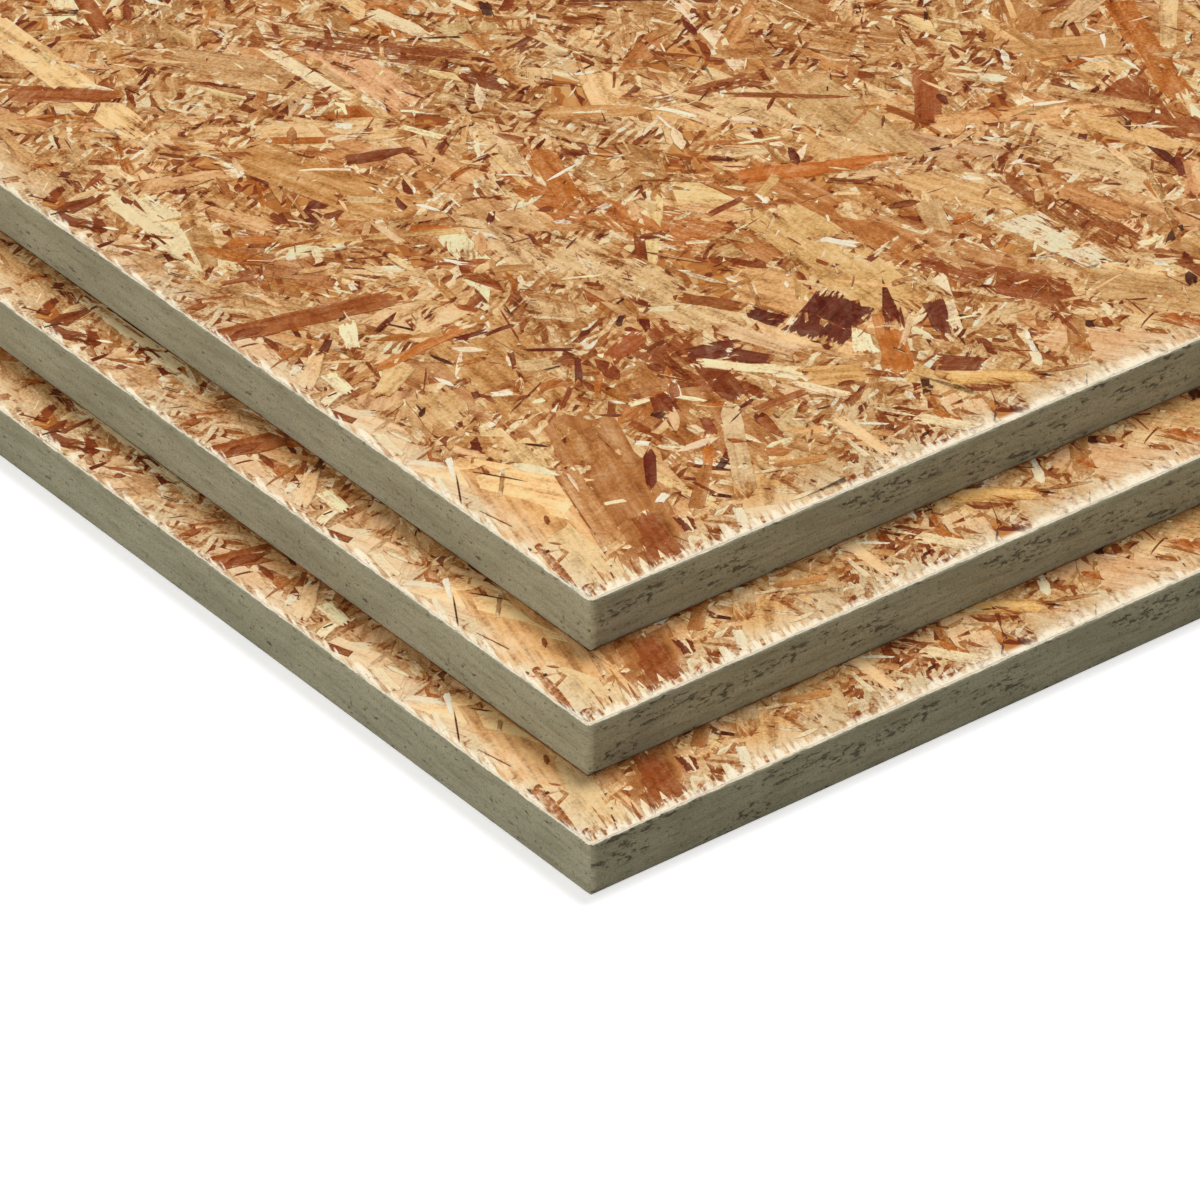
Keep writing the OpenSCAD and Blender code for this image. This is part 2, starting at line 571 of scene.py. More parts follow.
class Graph:
    """Short names for a material's nodes."""

    def __init__(self, name):
        self.material = bpy.data.materials.new(name)
        self.material.use_nodes = True
        self.tree = self.material.node_tree
        self.shader = self.tree.nodes["Principled BSDF"]

    def set(self, socket, value):
        if isinstance(value, bpy.types.NodeSocket):
            self.tree.links.new(value, socket)
        else:
            socket.default_value = value

    def node(self, kind, out=0, inputs=(), **settings):
        n = self.tree.nodes.new(kind)
        for key, value in settings.items():
            setattr(n, key, value)
        for key, value in dict(inputs).items():
            self.set(n.inputs[key], value)
        return n.outputs[out]

    def math(self, operation, a, b=0.0, c=0.0):
        return self.node("ShaderNodeMath", inputs={0: a, 1: b, 2: c}, operation=operation)

    def mix(self, factor, a, b, blend="MIX"):
        return self.node("ShaderNodeMix", out=2, inputs={0: factor, 6: a, 7: b},
                         data_type="RGBA", blend_type=blend)

    def step(self, value, low, high, to_low=0.0, to_high=1.0):
        return self.node("ShaderNodeMapRange", inputs={0: value, 1: low, 2: high, 3: to_low, 4: to_high},
                         interpolation_type="SMOOTHSTEP")

    def ramp(self, value, low, high, to_low=0.0, to_high=1.0):
        return self.node("ShaderNodeMapRange", inputs={0: value, 1: low, 2: high, 3: to_low, 4: to_high})

    def between(self, share, ends):
        """A straight blend from the first of two values to the second."""
        return self.ramp(share, 0, 1, *ends)

    def swing(self, noise, gain):
        """A noise about zero, times a gain."""
        return self.math("MULTIPLY_ADD", noise, gain, -0.5 * gain)

    def split(self, vector):
        n = self.tree.nodes.new("ShaderNodeSeparateXYZ")
        self.set(n.inputs[0], vector)
        return n.outputs[0], n.outputs[1], n.outputs[2]

    def join(self, x, y, z=0.0):
        return self.node("ShaderNodeCombineXYZ", inputs={0: x, 1: y, 2: z})

    def scaled(self, vector, along, across, offset=0.0):
        x, y, _ = self.split(vector)
        return self.join(self.math("MULTIPLY_ADD", x, along, offset),
                         self.math("MULTIPLY_ADD", y, across, offset))

    def turned(self, vector, degrees, along, across, offset=0.0):
        """Coordinates along and across a direction, each scaled."""
        x, y, _ = self.split(vector)
        c, s = math.cos(math.radians(degrees)), math.sin(math.radians(degrees))
        run = self.math("MULTIPLY_ADD", x, c * along, self.math("MULTIPLY_ADD", y, s * along, offset))
        side = self.math("MULTIPLY_ADD", y, c * across, self.math("MULTIPLY_ADD", x, -s * across, offset))
        return self.join(run, side)

    def noise(self, vector, detail=2.0, roughness=0.5):
        inputs = {"Vector": vector, "Scale": 1.0, "Detail": detail, "Roughness": roughness}
        return self.node("ShaderNodeTexNoise", inputs=inputs, noise_dimensions="2D")

    def uv(self, name):
        return self.node("ShaderNodeUVMap", uv_map=name)

    def attribute(self, name, out):
        return self.node("ShaderNodeAttribute", out=out, attribute_name=name)

    def bump(self, height, strength, distance):
        inputs = {"Strength": strength, "Distance": distance, "Height": height}
        return self.node("ShaderNodeBump", inputs=inputs)


def rgba(tone, gain=1.0):
    """A tone as a material's colour."""
    return (*(linear(tone) * gain), 1.0)


def edge_distance(g, plan, side=1.0):
    """Millimetres to the panel's nearest edge, with the distance to the long edges times side."""
    x, y, _ = g.split(plan)
    across = g.math("MINIMUM", x, g.math("SUBTRACT", float(PANEL_WIDTH), x))
    along = g.math("MINIMUM", y, g.math("SUBTRACT", float(PANEL_LENGTH), y))
    return g.math("MINIMUM", g.math("MULTIPLY", across, side), along)


# Fragments between the strands: direction of the grain, and cells per millimetre along and across it
FRAGMENTS = ((64, 0.085, 0.40), (-52, 0.10, 0.46), (24, 0.17, 0.62))
FRAGMENT_TONES = ((0.0, "maroon"), (0.06, "rust"), (0.15, "russet"), (0.28, "amber"), (0.44, "honey"),
                  (0.62, "tan"), (0.80, "pale"), (0.95, "cream"), (1.0, "white"))
# Bend of the fragments: waves per millimetre, offset, detail, roughness and strength
SWAY_NOISE = (0.13, 11.0, 2, 0.55)
SWAY = 0.9
FRAGMENT_SHIFT = 50.0
# Patches in which one direction gives way to the next: waves per millimetre, offsets and threshold
PATCH_PITCH = 0.07
PATCH_OFFSETS = (17.0, 26.0)
PATCH_STEP = (0.50, 0.53)


def face_noise(g, plan, pitch, offset, detail, roughness):
    """Noise alike in all directions of a face."""
    return g.noise(g.scaled(plan, pitch, pitch, offset), detail, roughness)


def fragments(g, plan):
    """Small pressed fragments that run on from strand to strand: a random value for each."""
    sway = face_noise(g, plan, *SWAY_NOISE)
    values = []
    for i, (direction, along, across) in enumerate(FRAGMENTS):
        bend = g.math("MULTIPLY_ADD", sway, SWAY, FRAGMENT_SHIFT * i)
        place = g.turned(plan, direction, along, across, bend)
        cell = g.node("ShaderNodeTexVoronoi", out="Color", inputs={"Vector": place, "Scale": 1.0},
                      voronoi_dimensions="2D")
        values.append(g.split(cell)[0])
    value = values[0]
    for other, offset in zip(values[1:], PATCH_OFFSETS):
        pick = g.step(g.noise(g.scaled(plan, PATCH_PITCH, PATCH_PITCH, offset)), *PATCH_STEP)
        value = g.node("ShaderNodeMix", inputs={0: pick, 2: value, 3: other}, data_type="FLOAT")
    return value


def fragment_colour(g, value):
    """Tone of each fragment, dark ones rare."""
    ramp = g.tree.nodes.new("ShaderNodeValToRGB")
    g.set(ramp.inputs[0], value)
    band = ramp.color_ramp
    while len(band.elements) < len(FRAGMENT_TONES):
        band.elements.new(0.5)
    for element, (place, tone) in zip(band.elements, FRAGMENT_TONES):
        element.position = place
        element.color = rgba(TONES[tone])
    return ramp.outputs[0]


# Noise along a strand's grain: waves per millimetre along and across it, detail and roughness
GRAIN_NOISE = {
    "streak": (0.022, 0.26, 3, 0.55),
    "fibre": (0.14, 1.9, 2, 0.6),
    "ragged": (0.11, 0.80, 3, 0.6),
}
# Noise that runs on from strand to strand: waves per millimetre, offset, detail and roughness
FACE_NOISE = {
    "crumb": (0.80, 0.0, 3, 0.7),
    "speck": (1.5, 7.0, 2, 0.6),
    "blotch": (0.085, 3.0, 3, 0.6),
    "busy": (0.022, 29.0, 1, 0.5),
    "broken": (0.10, 41.0, 2, 0.5),
}
SEED_REACH = 91.0


def strand_noise(g, grain, plan):
    """Every noise of the strands by name, and the grit of each strand."""
    shift = g.math("MULTIPLY", g.attribute("seed", FACTOR), SEED_REACH)
    noise = {"grit": g.attribute("grit", FACTOR)}
    for name, (along, across, detail, roughness) in GRAIN_NOISE.items():
        noise[name] = g.noise(g.scaled(grain, along, across, shift), detail, roughness)
    for name, waves in FACE_NOISE.items():
        noise[name] = face_noise(g, plan, *waves)
    return noise


# Strands lost among fragments, as smooth steps: from, to, and the values there
END_LOSS = (0.45, 1.05, 0, 0.60)
FLANK_LOSS = (0.5, 1.1, 0, 0.42)
BORDER_GAIN = (16.0, 2.0, 0, 0.22)
LOST = (0.30, 0.38, 0.10, 0.95)
# What else hides a strand: cause, its middle value and its strength
LOSS = (("blotch", 0.5, 0.7), ("ragged", 0.5, 1.05), ("grit", 0.45, 0.75), ("busy", 0.5, 0.6))


def strand_loss(g, grain, edge, noise):
    """How far a strand is lost among fragments: most at its ends and sides, less near the border."""
    u, v, _ = g.split(grain)
    half_u, half_v, _ = g.split(g.attribute("half", VECTOR))
    end = g.math("DIVIDE", g.math("ABSOLUTE", u), half_u)
    flank = g.math("DIVIDE", g.math("ABSOLUTE", v), half_v)
    lost = g.math("MAXIMUM", g.step(end, *END_LOSS), g.step(flank, *FLANK_LOSS))
    for cause, middle, strength in LOSS:
        lost = g.math("MULTIPLY_ADD", g.math("SUBTRACT", noise[cause], middle), strength, lost)
    lost = g.math("SUBTRACT", lost, g.step(edge, *BORDER_GAIN))
    return g.step(lost, *LOST)


# Light and dark in the wood: strength of each noise, where they end, and how far grit adds to crumbs
DEPTH = {"streak": 2.6, "crumb": 2.8, "blotch": 1.8, "fibre": 0.6}
DEEPEST = 1.5
COARSENESS = (0.60, 0.55)
DARKENING = (0.42, 0.25, 0.13, 1)
LIGHTENING = (0.02, 0.40, 0.02, 0.75)
DARK_SPECK = (0.72, 0.80, 0, 0.6)
PALE_SPECK = (0.27, 0.19, 0, 0.7)
# Dark rim of each strand: partly painted shade of the crevice round it, partly dark resin and dirt in the gap
RIM_PAINTED_SHADE = 0.85
RIM_PAINTED_SHADE_TONE = 0.55
CONTRAST = 1.40
WARMTH = np.array((1.12, 1.00, 0.82))


def strand_colour(g, base, noise):
    """Light and dark wood about a base tone, with specks and a dark rim that is partly painted shade of the
    crevice round each strand and partly dark resin and dirt in its gap.
    """
    dark = g.mix(1.0, base, DARKENING, "MULTIPLY")
    light = g.mix(g.ramp(g.split(base)[1], *LIGHTENING), base, rgba(TONES["cream"]))
    coarse = g.math("MULTIPLY_ADD", noise["grit"], *COARSENESS)
    swing = {name: g.swing(noise[name], gain) for name, gain in DEPTH.items()}
    depth = g.math("MULTIPLY_ADD", swing["crumb"], coarse, swing["streak"])
    depth = g.math("ADD", depth, swing["blotch"])
    depth = g.math("ADD", depth, swing["fibre"])
    colour = g.mix(g.ramp(depth, 0.0, DEEPEST), base, dark)
    colour = g.mix(g.ramp(depth, 0.0, -DEEPEST), colour, light)
    colour = g.mix(g.step(noise["speck"], *DARK_SPECK), colour, rgba(TONES["rust"]))
    colour = g.mix(g.step(noise["speck"], *PALE_SPECK), colour, light)
    # Painted shade in the crevice round each strand, with dark resin and dirt in its gap: the rim darkens
    # towards rust
    rim = g.math("MULTIPLY", g.attribute("rim", FACTOR), RIM_PAINTED_SHADE)
    colour = g.mix(rim, colour, rgba(TONES["rust"], RIM_PAINTED_SHADE_TONE))
    gamma = g.node("ShaderNodeGamma", inputs={0: colour, 1: CONTRAST})
    gain = linear(TONES["tan"]) ** (1 - CONTRAST) * WARMTH
    return g.mix(1.0, gamma, (*gain, 1.0), "MULTIPLY")


# Paler wood towards the border, as smooth steps on the distance in millimetres, the noises and the tone
EDGE_PALE_REACH = (17.0, 3.0, 0, 1)
EDGE_PALE_BREAKS = (0.25, 0.65, 0.45, 1.0)
EDGE_PALE_TONE_STEP = (0.12, 0.40, 0.0, 0.85)
EDGE_PALE_GRAIN = (0.68, 0.40, 0.35, 1.0)
# Tufts of torn fibre: direction, waves per millimetre along and across it, offset, detail, roughness
FRAY = (72, 0.06, 0.55, 5.0)
FRAY_NOISE = (2, 0.6)
# Stretches with plain tufts: distance from the front corner, and what brings them elsewhere
TUFTS_NEAR = (120.0, 50.0)
TUFTS_ELSEWHERE = (0.52, 0.62)
# Spread, reach and softness of the white in millimetres, and strength of the russet gaps: without
# tufts and with them
TUFT_SPREAD = (9.0, 17.0)
TUFT_REACH = (3.6, 2.4)
TUFT_SOFTNESS = (2.8, 1.8)
GAP_STRENGTH = (0.4, 1.0)
BREAK_SPREAD = 9.0
WORN_AND_HIGHLIGHT_MOST = 0.9
# The thin white line, partly a painted highlight along the edge, the russet gaps and the crumbs in the white,
# as smooth steps
WHITE_LINE = (2.1, 0.8, 0, 0.95)
GAP_REACH = (10.0, 4.0, 0, 0.36)
GAP_STEP = (0.45, 0.36, 0)
CRUMBLING = (0.76, 0.48, 0.5, 1.0)
# How much nearer the long edges count for the white and for the gaps
LONG_EDGE_WHITE = 1.8
LONG_EDGE_GAPS = 2.8


def paler_near_edges(g, colour, edge, noise):
    """Paler wood towards the panel's edges."""
    share = g.math("MULTIPLY", g.step(edge, *EDGE_PALE_REACH), g.step(noise["broken"], *EDGE_PALE_BREAKS))
    share = g.math("MULTIPLY", share, g.step(g.split(colour)[1], *EDGE_PALE_TONE_STEP))
    share = g.math("MULTIPLY", share, g.step(noise["ragged"], *EDGE_PALE_GRAIN))
    return g.mix(share, colour, rgba(EDGE_PALE))


def frayed_border(g, colour, plan, noise):
    """White along the panel's edges, torn fibre and partly a painted highlight, with russet gaps; and how
    white each spot is.
    """
    patch = g.noise(g.turned(plan, *FRAY), *FRAY_NOISE)
    tufted = g.math("MAXIMUM", g.step(g.split(plan)[0], *TUFTS_NEAR), g.step(noise["busy"], *TUFTS_ELSEWHERE))
    reach = g.math("MULTIPLY_ADD", g.math("SUBTRACT", patch, 0.5), g.between(tufted, TUFT_SPREAD),
                   g.between(tufted, TUFT_REACH))
    reach = g.math("MULTIPLY_ADD", g.math("SUBTRACT", noise["broken"], 0.5), BREAK_SPREAD, reach)
    distance = edge_distance(g, plan, LONG_EDGE_WHITE)
    soft = g.between(tufted, TUFT_SOFTNESS)
    worn_and_highlight = g.step(g.math("SUBTRACT", distance, reach), soft, g.math("MULTIPLY", soft, -1.0), 0, WORN_AND_HIGHLIGHT_MOST)
    # The thin white line right at the edge: bare fibre, and a painted highlight where the edge catches the
    # light
    worn_and_highlight = g.math("MAXIMUM", worn_and_highlight, g.step(distance, *WHITE_LINE))
    worn_and_highlight = g.math("MULTIPLY", worn_and_highlight, g.step(noise["crumb"], *CRUMBLING))
    gaps = g.math("MULTIPLY", g.step(patch, *GAP_STEP, g.between(tufted, GAP_STRENGTH)),
                  g.step(edge_distance(g, plan, LONG_EDGE_GAPS), *GAP_REACH))
    colour = g.mix(gaps, colour, rgba(TONES["russet"]))
    # White of worn fibre, partly a painted highlight along the edge
    colour = g.mix(worn_and_highlight, colour, rgba(BARE_WOOD_AND_HIGHLIGHT))
    return g.mix(1.0, colour, rgba(BARE_WOOD_AND_HIGHLIGHT), "DARKEN"), worn_and_highlight


# Sheen of the strands, and their relief: crumbs by grit, fibres, fragments, depth in millimetres,
# and the strength left where the border is white with worn fibre and painted highlight
STRAND_ROUGHNESS = (0.3, 0.7, 0.60, 0.80)
STRAND_SPECULAR = 0.06
CRUMB_RELIEF = (1.2, 0.4)
FIBRE_RELIEF = 0.5
FRAGMENT_RELIEF = 0.45
STRAND_RELIEF = 0.8
RELIEF_LEFT = (0.0, WORN_AND_HIGHLIGHT_MOST, 1.0, 0.3)


def strand_material():
    """Pressed softwood strand: streaky grain, grit, specks, ends lost among fragments, a white border of worn
    fibre and painted highlight.
    """
    g = Graph("osb_strand")
    grain, plan = g.uv("grain"), g.uv("plan")
    noise = strand_noise(g, grain, plan)
    edge = edge_distance(g, plan)
    value = fragments(g, plan)
    lost = strand_loss(g, grain, edge, noise)
    base = g.mix(lost, g.attribute("tone", COLOUR), fragment_colour(g, value))
    colour = paler_near_edges(g, strand_colour(g, base, noise), edge, noise)
    colour, worn_and_highlight = frayed_border(g, colour, plan, noise)
    g.set(g.shader.inputs["Base Color"], colour)
    g.set(g.shader.inputs["Roughness"], g.step(noise["streak"], *STRAND_ROUGHNESS))
    g.shader.inputs["Specular IOR Level"].default_value = STRAND_SPECULAR
    relief = g.math("MULTIPLY", noise["crumb"], g.math("MULTIPLY_ADD", noise["grit"], *CRUMB_RELIEF))
    relief = g.math("MULTIPLY_ADD", noise["fibre"], FIBRE_RELIEF, relief)
    relief = g.math("MULTIPLY_ADD", value, FRAGMENT_RELIEF, relief)
    g.set(g.shader.inputs["Normal"], g.bump(relief, g.ramp(worn_and_highlight, *RELIEF_LEFT), STRAND_RELIEF * MM))
    return g.material


# Noise in the edge seal: waves per millimetre along the edge and up it, detail and roughness
SEAL_NOISE = {
    "broad": (0.030, 0.09, 3, 0.5),
    "layer": (0.055, 0.55, 4, 0.6),
    "lump": (0.20, 0.48, 3, 0.6),
    "pit": (0.24, 0.62, 4, 0.68),
    "fleck": (0.45, 0.60, 2, 0.6),
    "cluster": (0.034, 0.13, 2, 0.5),
    "grit": (1.1, 1.4, 2, 0.7),
}
CORNER_SHIFT = 300.0
# Pits in clusters, and layers that show through: more on the short sides than on the long ones
CLUSTER_STEP = (0.44, 0.66, -0.17)
CLUSTER_RISE = (0.095, -0.115)
DULL_STEP = (0.35, 0.68)
LAYER_STEP = (0.48, 0.72, 0)
LAYER_STRENGTH = (0.10, 0.40)
# Marks in the seal, the lowest first: noise, smooth step and tone; pits and flecks are sunk and
# darkened as painted shade inside them
SEAL_MARKS = (
    ("layer", (0.46, 0.30, 0, 0.25), "rubbed"),
    ("grit", (0.35, 0.75, 0, 0.45), "gritty"),
    ("pit", (0.46, 0.63, 0, 0.8), "pit_painted_shade"),
    ("fleck", (0.65, 0.75, 0, 0.55), "fleck_painted_shade"),
)
# Bare wood, on the arris partly a painted highlight: its grit, how level the arris is where the seal ends,
# and distance to the face's wood, which is darkened as painted shade in the gaps between strands
WOOD_STEP = (0.35, 0.7)
ARRIS_STEP = (0.72, 0.84)
ARRIS_FRAY = 0.5
FACE_STEP = (1.6, 4.0)
# Sheen of the panel, and its relief: grit, lumps, pits, flecks, strength and depth in millimetres
PANEL_ROUGHNESS = (0.3, 0.7, 0.74, 0.9)
PANEL_SPECULAR = 0.15
GRIT_RELIEF = 0.3
LUMP_RELIEF = 0.8
PIT_RELIEF = (0.50, 0.66, 0, 1.0)
FLECK_RELIEF = (0.70, 0.80, 0, 0.4)
PANEL_BUMP = 0.9
PANEL_RELIEF = 0.6


def seal_colour(g, noise, short_side):
    """Grey-green edge seal with layers, grit, and pits and flecks darkened as painted shade inside them."""
    paint = g.mix(g.step(noise["broad"], *DULL_STEP), rgba(SEAL["fresh"]), rgba(SEAL["dull"]))
    strength = g.math("MULTIPLY_ADD", short_side, *LAYER_STRENGTH)
    paint = g.mix(g.step(noise["layer"], *LAYER_STEP, strength), paint, rgba(SEAL["layered"]))
    for name, step, tone in SEAL_MARKS:
        paint = g.mix(g.step(noise[name], *step), paint, rgba(SEAL[tone]))
    return paint


def panel_material(name):
    """Sawn panel: sealed grey-green edges, bare wood on the arrises, partly a painted highlight, and under
    the strands wood darkened as painted shade in the gaps between them.
    """
    g = Graph(f"{name}_osb")
    place = g.node("ShaderNodeVectorMath", operation="SCALE",
                   inputs={0: g.node("ShaderNodeTexCoord", out="Object"), "Scale": 1 / MM})
    x, y, z = g.split(place)
    lo = [float(v) for v in PANEL_LO[name]]
    plan = g.join(g.math("SUBTRACT", x, lo[0]), g.math("SUBTRACT", y, lo[1]))
    height = g.math("SUBTRACT", z, lo[2])
    along = g.math("ADD", x, y)
    facing = [g.math("ABSOLUTE", n) for n in g.split(g.node("ShaderNodeNewGeometry", out="Normal"))]
    turn = g.math("MULTIPLY", g.math("GREATER_THAN", facing[0], facing[1]), CORNER_SHIFT)
    short_side = g.math("GREATER_THAN", facing[1], 0.5)
    noise = {}
    for key, (run, rise, detail, roughness) in SEAL_NOISE.items():
        spot = g.join(g.math("MULTIPLY_ADD", along, run, turn), g.math("MULTIPLY", height, rise))
        noise[key] = g.noise(spot, detail, roughness)
    cluster = g.step(noise["cluster"], *CLUSTER_STEP, g.math("MULTIPLY_ADD", short_side, *CLUSTER_RISE))
    noise["pit"] = g.math("ADD", noise["pit"], cluster)
    # Bare wood on the upward part of the arris, partly a painted highlight where the edge catches the light
    wood = g.mix(g.step(noise["grit"], *WOOD_STEP), rgba(BARE_WOOD_AND_HIGHLIGHT), rgba(TONES["white"]))
    # Fragment wood darkened by tan: painted shade where the face shows in the gaps between strands
    under = g.mix(1.0, fragment_colour(g, fragments(g, plan)), rgba(TONES["tan"]), "MULTIPLY")
    arris = g.math("MULTIPLY_ADD", g.math("SUBTRACT", noise["lump"], 0.5), ARRIS_FRAY, facing[2])
    colour = g.mix(g.step(arris, *ARRIS_STEP), seal_colour(g, noise, short_side), wood)
    colour = g.mix(g.step(edge_distance(g, plan), *FACE_STEP), colour, under)
    g.set(g.shader.inputs["Base Color"], colour)
    g.set(g.shader.inputs["Roughness"], g.step(noise["grit"], *PANEL_ROUGHNESS))
    g.shader.inputs["Specular IOR Level"].default_value = PANEL_SPECULAR
    relief = g.math("MULTIPLY_ADD", noise["lump"], LUMP_RELIEF, noise["layer"])
    relief = g.math("MULTIPLY_ADD", noise["grit"], GRIT_RELIEF, relief)
    relief = g.math("SUBTRACT", relief, g.step(noise["pit"], *PIT_RELIEF))
    relief = g.math("SUBTRACT", relief, g.step(noise["fleck"], *FLECK_RELIEF))
    g.set(g.shader.inputs["Normal"], g.bump(relief, PANEL_BUMP, PANEL_RELIEF * MM))
    return g.material


# Floor: half its side in metres, its colour to the eye and to the object, and its glow to the eye
FLOOR_HALF = 30.0
FLOOR_SEEN = (0.85, 0.85, 0.85, 1)
FLOOR_BOUNCE = (0.40, 0.365, 0.30, 1)
FLOOR_GLOW = 0.56
WHITE = (1, 1, 1, 1)


def seen(tree):
    """1 for what the camera sees, straight, in a gloss or through glass, and otherwise 0."""
    path = tree.nodes.new("ShaderNodeLightPath")
    out = path.outputs["Is Camera Ray"]
    for name in ("Is Glossy Ray", "Is Transmission Ray"):
        either = tree.nodes.new("ShaderNodeMath")
        either.operation = "MAXIMUM"
        tree.links.new(out, either.inputs[0])
        tree.links.new(path.outputs[name], either.inputs[1])
        out = either.outputs[0]
    return out


def stage_floor():
    """Plain white floor that keeps the stack's shadow."""
    mesh = bpy.data.meshes.new("floor")
    s = FLOOR_HALF
    mesh.from_pydata([(-s, -s, 0), (s, -s, 0), (s, s, 0), (-s, s, 0)], [], [(0, 1, 2, 3)])
    floor = bpy.data.objects.new("floor", mesh)
    bpy.context.scene.collection.objects.link(floor)
    g = Graph("floor")
    share = seen(g.tree)
    g.set(g.shader.inputs["Base Color"], g.mix(share, FLOOR_BOUNCE, FLOOR_SEEN))
    g.shader.inputs["Roughness"].default_value = 1.0
    g.shader.inputs["Specular IOR Level"].default_value = 0.0
    g.shader.inputs["Emission Color"].default_value = WHITE
    g.set(g.shader.inputs["Emission Strength"], g.math("MULTIPLY", share, FLOOR_GLOW))
    mesh.materials.append(g.material)


# Name, strength, softness in degrees and direction of each light
LIGHTS = (("key", 2.48, 27, (0.42, 0.29, 1.0)), ("fill", 1.30, 30, (-0.87, -0.22, 0.20)))
# Strength of the sky to the object and to the eye
SKY = (0.22, 1.0)
# The photo's camera: focal length and film width, place from the bottom panel's front corner,
# downward tilt and heading in degrees
LENS = 240.0
FILM = 36.0
EYE = (-1164.5, -1495.0, 1353.0)
EYE_TILT = 33.4
EYE_HEADING = -38.0
EYE_REACH = 100.0


def sky(scene):
    """An even sky that looks white."""
    world = bpy.data.worlds.new("studio")
    scene.world = world
    world.use_nodes = True
    tree = world.node_tree
    back = tree.nodes["Background"]
    strength = tree.nodes.new("ShaderNodeMapRange")
    tree.links.new(seen(tree), strength.inputs["Value"])
    strength.inputs["To Min"].default_value, strength.inputs["To Max"].default_value = SKY
    tree.links.new(strength.outputs[0], back.inputs["Strength"])
    back.inputs["Color"].default_value = WHITE


def studio():
    """A soft light from above and behind, a low one from the left, an even sky, and the photo's camera."""
    scene = bpy.context.scene
    scene.view_settings.view_transform = "Standard"
    sky(scene)
    for name, energy, spread, toward in LIGHTS:
        light = bpy.data.lights.new(name, "SUN")
        light.energy = energy
        light.angle = math.radians(spread)
        lamp = bpy.data.objects.new(name, light)
        x, y, z = np.array(toward) / np.linalg.norm(toward)
        lamp.rotation_euler = (math.acos(z), 0, math.atan2(x, -y))
        scene.collection.objects.link(lamp)
    camera = bpy.data.cameras.new("camera")
    camera.lens = LENS
    camera.sensor_width = FILM
    camera.clip_end = EYE_REACH
    eye = bpy.data.objects.new("camera", camera)
    eye.location = (PANEL_LO["bottom_panel"] + np.array(EYE)) * MM
    eye.rotation_euler = (math.radians(90 - EYE_TILT), 0, math.radians(EYE_HEADING))
    scene.collection.objects.link(eye)
    scene.camera = eye


# Strands of the top face in three pieces: name, seed and kinds
TOP_PIECES = (("broad", 11, ("broad",)), ("mid", 12, ("mid",)), ("fine", 13, ("small", "sliver")))
FAR_SHARE = {"broad": 1.0, "mid": 1.0, "small": 0.7, "sliver": 0.4}
# Strands of an underside: seed, share of each kind, and how flat they are pressed
UNDERSIDE_SEED = 21
UNDERSIDE_SHARE = {"broad": 1.0, "mid": 1.0, "small": 0.6}
UNDERSIDE_PRESS = 0.3
# Millimetres from the panel's edge to the strands, that loose strands are strewn past it, and that
# they run in under the next panel
INSET = 0.8
MARGIN = 30
LAP = 0.3
# Strands read in the photo: where a strand counts as broad, levels of broad ones and others as the
# lowest and the rise to the highest, rims of wide ones and thin ones, sag, and grit by their ends
BROAD_LENGTH = 30
BROAD_ASPECT = 3
BROAD_LEVEL = (0.22, 0.05)
OTHER_LEVEL = (0.29, 0.10)
WIDE = 1.5
WIDE_RIM = 0.25
THIN_RIM = 0.1
HERO_SAG = 0.012
HERO_GRIT = {"loose": 0.55, "grit": 1.0}
BROAD_GRIT = 0.0
OTHER_GRIT = 0.35


def lay_heroes(layout):
    """Lay the strands that the photo shows near the front corner."""
    for i, (tone, x, y, angle, length, width, ends) in enumerate(HEROES):
        broad = min(length, width * BROAD_ASPECT) > BROAD_LENGTH
        lowest, rise = BROAD_LEVEL if broad else OTHER_LEVEL
        layout.add(TONES[tone], x, y, angle, length, width, "point" if ends == "point" else "torn",
                   lowest + rise * i / len(HEROES), True, rim=WIDE_RIM if width > WIDE else THIN_RIM,
                   sag=HERO_SAG, grit=HERO_GRIT.get(ends, BROAD_GRIT if broad else OTHER_GRIT))


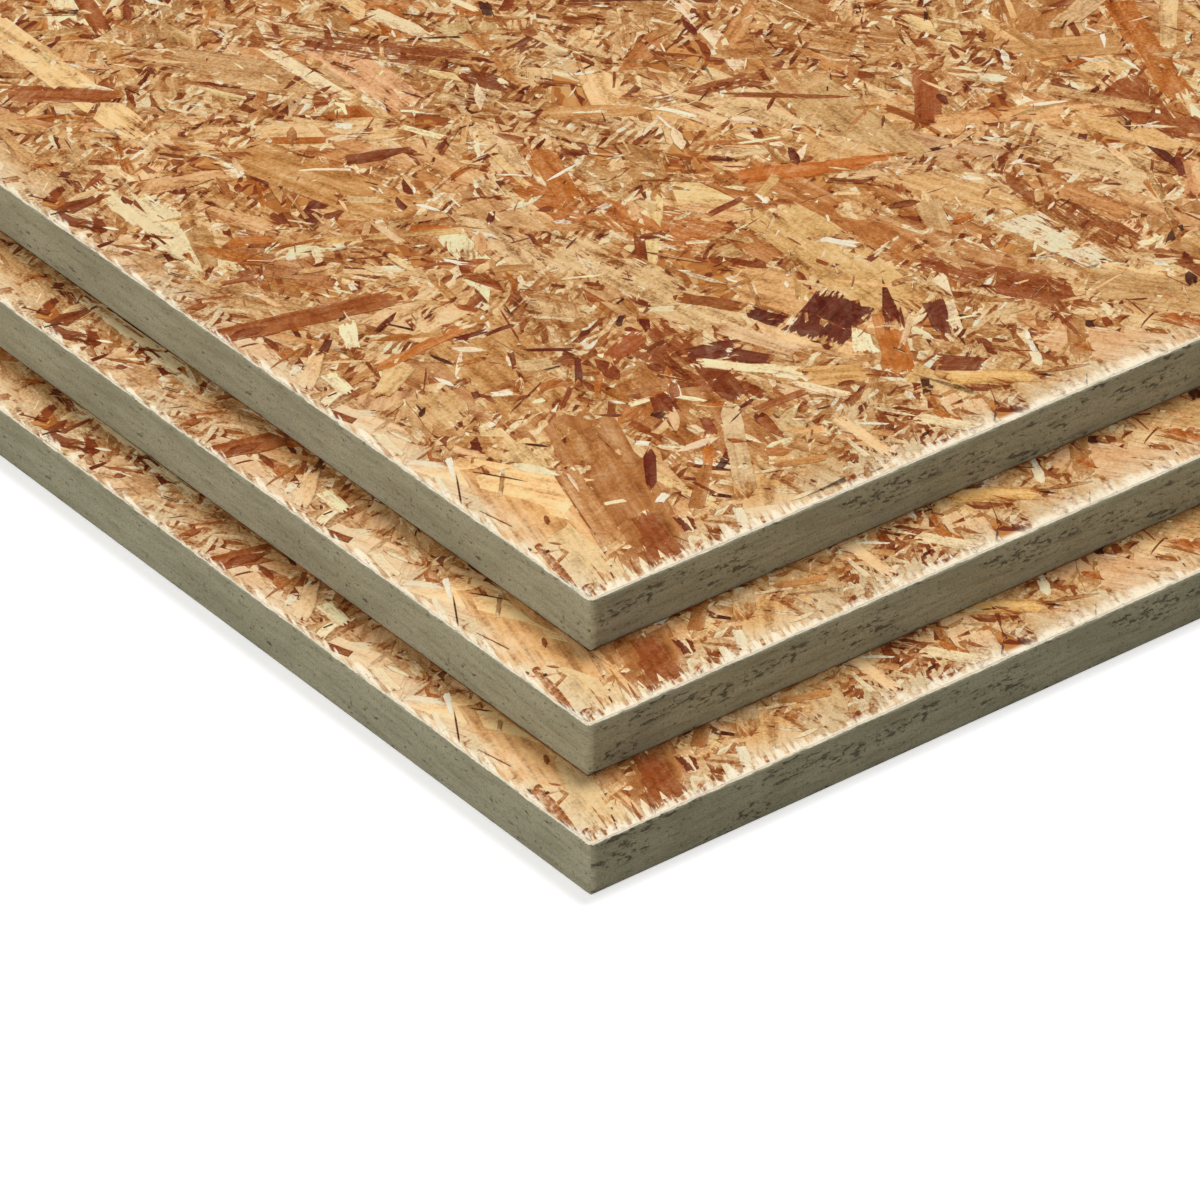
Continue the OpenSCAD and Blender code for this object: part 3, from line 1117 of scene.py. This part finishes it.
def top_strands():
    """Layouts of the top face by piece: finely cut near the front corner, plainer beyond it."""
    right, far = PANEL_WIDTH + MARGIN, PANEL_LENGTH + MARGIN
    corner = (-MARGIN, -MARGIN, NEAR, NEAR)
    beyond = ((NEAR, -MARGIN, right, NEAR), (-MARGIN, NEAR, right, far))
    layouts = {name: Layout(seed) for name, seed, _ in TOP_PIECES}
    for name, _, kinds in TOP_PIECES:
        for kind in kinds:
            scatter(layouts[name], kind, corner, fine=True)
    for patch in BUSY:
        scatter(layouts["fine"], "bits", patch, fine=True)
    for patch in LIGHT_BUSY:
        scatter(layouts["fine"], "small", patch, LIGHT_BUSY_SHARE, fine=True)
    lay_heroes(layouts["mid"])
    for name, _, kinds in TOP_PIECES:
        for kind in kinds:
            for region in beyond:
                scatter(layouts[name], kind, region, FAR_SHARE[kind])
    return layouts


def underside_strands():
    """Layout of an underside, pressed flat."""
    layout = Layout(UNDERSIDE_SEED)
    face = (-MARGIN, -MARGIN, PANEL_WIDTH + MARGIN, PANEL_LENGTH + MARGIN)
    for kind, share in UNDERSIDE_SHARE.items():
        scatter(layout, kind, face, share)
    for s in layout.strands:
        s["rim"] = 0
        s["level"] *= UNDERSIDE_PRESS
        s["slope"] = s["slope"] * UNDERSIDE_PRESS
    return layout.strands


def dress():
    """Edge seal on the panels, and strands on every face that shows."""
    strand = strand_material()
    for name in PANELS:
        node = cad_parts[name]
        node.data.materials.clear()
        node.data.materials.append(panel_material(name))
    right, far = PANEL_WIDTH - INSET, PANEL_LENGTH - INSET
    whole = (INSET, INSET, right, far)
    pieces = []

    def cover(name, strands, panel, up, keep):
        z = (PANEL_HI if up > 0 else PANEL_LO)[panel][2]
        pieces.append(build_mesh(name, strands, PANEL_LO[panel], z, up, keep))

    layouts = top_strands()
    for kind, layout in layouts.items():
        cover(f"top_face_{kind}_strands", layout.strands, "top_panel", 1, (whole,))
    upper = [s for layout in layouts.values() for s in layout.strands]
    for name, above in (("middle", "top"), ("bottom", "middle")):
        panel = f"{name}_panel"
        x, y = (PANEL_LO[f"{above}_panel"] - PANEL_LO[panel])[:2] + LAP
        ledges = ((INSET, INSET, x, far), (x, INSET, right, y))
        cover(f"{name}_ledge_strands", upper, panel, 1, ledges)
    lower = underside_strands()
    cover("bottom_underside_strands", lower, "bottom_panel", -1, (whole,))
    for name, below in (("middle", "bottom"), ("top", "middle")):
        panel = f"{name}_panel"
        x, y = (PANEL_HI[f"{below}_panel"] - PANEL_LO[panel])[:2] - LAP
        strips = ((x, INSET, right, far), (INSET, y, x, far))
        cover(f"{name}_underside_strands", lower, panel, -1, strips)
    for piece in pieces:
        piece.data.materials.append(strand)
        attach(piece, "root")


stage_floor()
studio()
dress()
